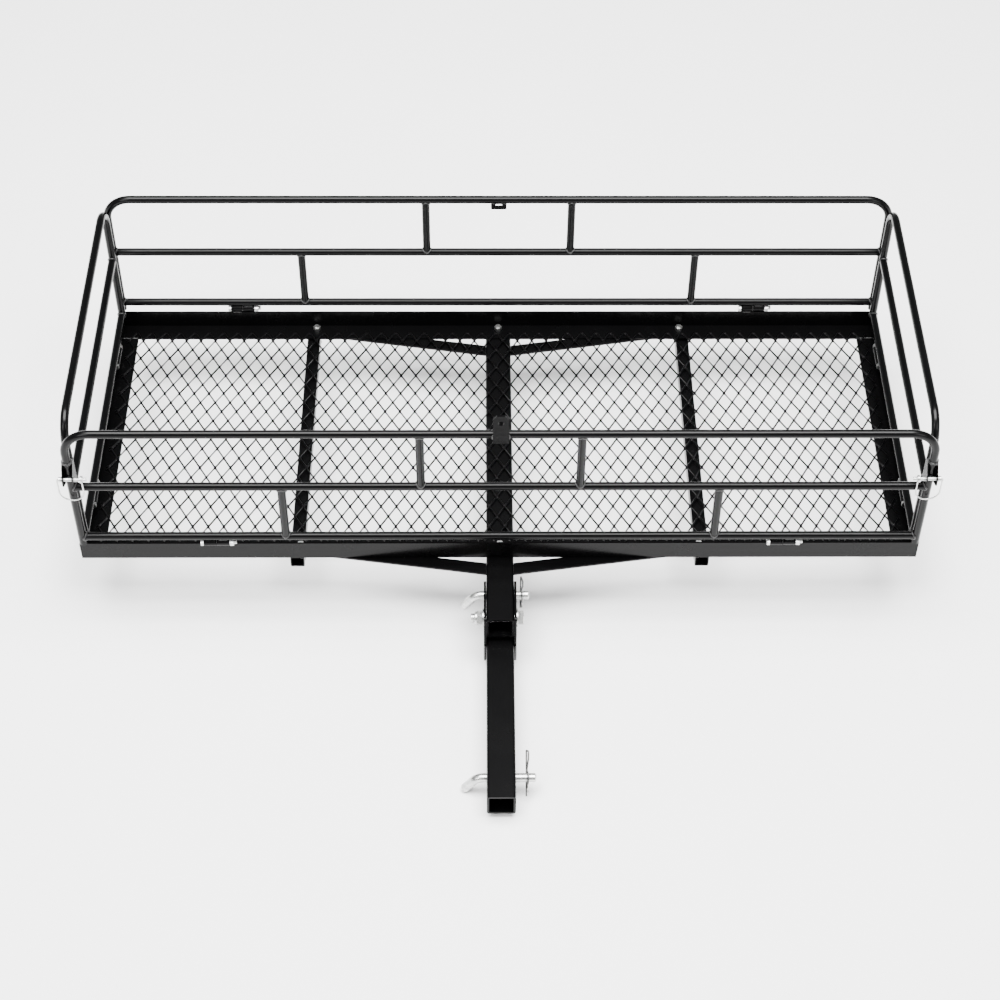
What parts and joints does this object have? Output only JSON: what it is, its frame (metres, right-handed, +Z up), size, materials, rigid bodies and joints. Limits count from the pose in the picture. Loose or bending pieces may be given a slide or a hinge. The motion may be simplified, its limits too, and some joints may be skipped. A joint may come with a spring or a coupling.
{
  "type": "hitch cargo carrier",
  "caption": "Hitch-mounted steel cargo basket with a mesh deck, fold-down tube rails and a folding square receiver shank held by bent pins.",
  "frame": {"origin": "centre of the hitch pin hole in the receiver shank", "axes": "+Y from the vehicle along the shank, +Z up, +X along the basket's length"},
  "size_m": [1.5476, 1.096, 0.5096],
  "materials": {
    "black_coat": "semi-gloss black powder coat",
    "mesh_coat": "semi-gloss black powder coat over expanded steel",
    "zinc": "bright zinc plating"
  },
  "bodies": {
    "shank": {"shank": "black_coat", "bracket_plate_left": "black_coat", "bracket_plate_right": "black_coat", "pivot_bolt": "zinc", "pivot_nut": "zinc", "pivot_washers": "zinc"},
    "lock_pin": {"lock_pin": "zinc"},
    "lock_clip": {"lock_pin_clip": "zinc"},
    "hitch_pin": {"hitch_pin": "zinc"},
    "hitch_clip": {"hitch_pin_clip": "zinc"},
    "front_rail": {"front_rail_hoop": "black_coat", "front_rail_mid_tube": "black_coat", "front_rail_bottom_tube": "black_coat", "front_rail_struts": "black_coat", "front_rail_barrels": "black_coat", "front_tab": "black_coat", "latch_bracket_left": "black_coat", "latch_bracket_right": "black_coat"},
    "rear_rail": {"rear_rail_hoop": "black_coat", "rear_rail_mid_tube": "black_coat", "rear_rail_bottom_tube": "black_coat", "rear_rail_struts": "black_coat", "rear_rail_barrels": "black_coat", "rear_tab": "black_coat"},
    "left_rail": {"left_rail_hoop": "black_coat", "left_rail_mid_tube": "black_coat", "left_rail_bottom_tube": "black_coat", "left_rail_barrels": "black_coat"},
    "right_rail": {"right_rail_hoop": "black_coat", "right_rail_mid_tube": "black_coat", "right_rail_bottom_tube": "black_coat", "right_rail_barrels": "black_coat"},
    "corner_pin_left": {"corner_pin_left": "zinc", "corner_bail_left": "zinc"},
    "corner_pin_right": {"corner_pin_right": "zinc", "corner_bail_right": "zinc"},
    "basket": {"brace_front_left": "black_coat", "brace_front_right": "black_coat", "brace_rear_left": "black_coat", "brace_rear_right": "black_coat", "centre_beam": "black_coat", "cross_member_left": "black_coat", "cross_member_right": "black_coat", "deck_bolts": "zinc", "deck_mesh": "mesh_coat", "deck_nuts": "zinc", "frame_angle_front": "black_coat", "frame_angle_left": "black_coat", "frame_angle_rear": "black_coat", "frame_angle_right": "black_coat", "frame_barrels_front": "black_coat", "frame_barrels_left": "black_coat", "frame_barrels_rear": "black_coat", "frame_barrels_right": "black_coat", "hinge_bolts": "zinc", "hinge_nuts": "zinc"}
  },
  "joints": [
    {"name": "basket_fold", "type": "hinge", "parent": "shank", "child": "basket", "pos_m": [0, 0.3, 0.062], "axis": [1, 0, 0], "range_deg": [0, 90]},
    {"name": "lock_pin_turn", "type": "hinge", "parent": "shank", "child": "lock_pin", "pos_m": [0, 0.352, 0.062], "axis": [1, 0, 0], "range_deg": [-35, 50]},
    {"name": "lock_clip_turn", "type": "hinge", "parent": "lock_pin", "child": "lock_clip", "pos_m": [0.0372, 0.352, 0.062], "axis": [0, 0.1045, 0.9945], "range_deg": [-30, 10]},
    {"name": "hitch_pin_turn", "type": "hinge", "parent": "shank", "child": "hitch_pin", "pos_m": [0, 0, 0], "axis": [1, 0, 0], "range_deg": [-60, 60]},
    {"name": "hitch_clip_turn", "type": "hinge", "parent": "hitch_pin", "child": "hitch_clip", "pos_m": [0.0434, 0, 0], "axis": [0, 0.7314, 0.682], "range_deg": [-30, 10]},
    {"name": "front_rail_swing", "type": "hinge", "parent": "basket", "child": "front_rail", "pos_m": [0.512, 0.418, 0.1351], "axis": [1, 0, 0], "range_deg": [0, 102]},
    {"name": "rear_rail_swing", "type": "hinge", "parent": "basket", "child": "rear_rail", "pos_m": [0.512, 1.032, 0.1351], "axis": [-1, 0, 0], "range_deg": [0, 120]},
    {"name": "left_rail_fold", "type": "hinge", "parent": "basket", "child": "left_rail", "pos_m": [-0.751, 0.905, 0.1205], "axis": [0, 1, 0], "range_deg": [0, 90]},
    {"name": "right_rail_fold", "type": "hinge", "parent": "basket", "child": "right_rail", "pos_m": [0.751, 0.905, 0.1205], "axis": [0, -1, 0], "range_deg": [0, 90]},
    {"name": "corner_pin_left_turn", "type": "hinge", "parent": "front_rail", "child": "corner_pin_left", "pos_m": [-0.7525, 0.405, 0.318], "axis": [-1, 0, 0], "range_deg": [0, 120]},
    {"name": "corner_pin_right_turn", "type": "hinge", "parent": "front_rail", "child": "corner_pin_right", "pos_m": [0.7525, 0.405, 0.318], "axis": [-1, 0, 0], "range_deg": [0, 120]}
  ]
}
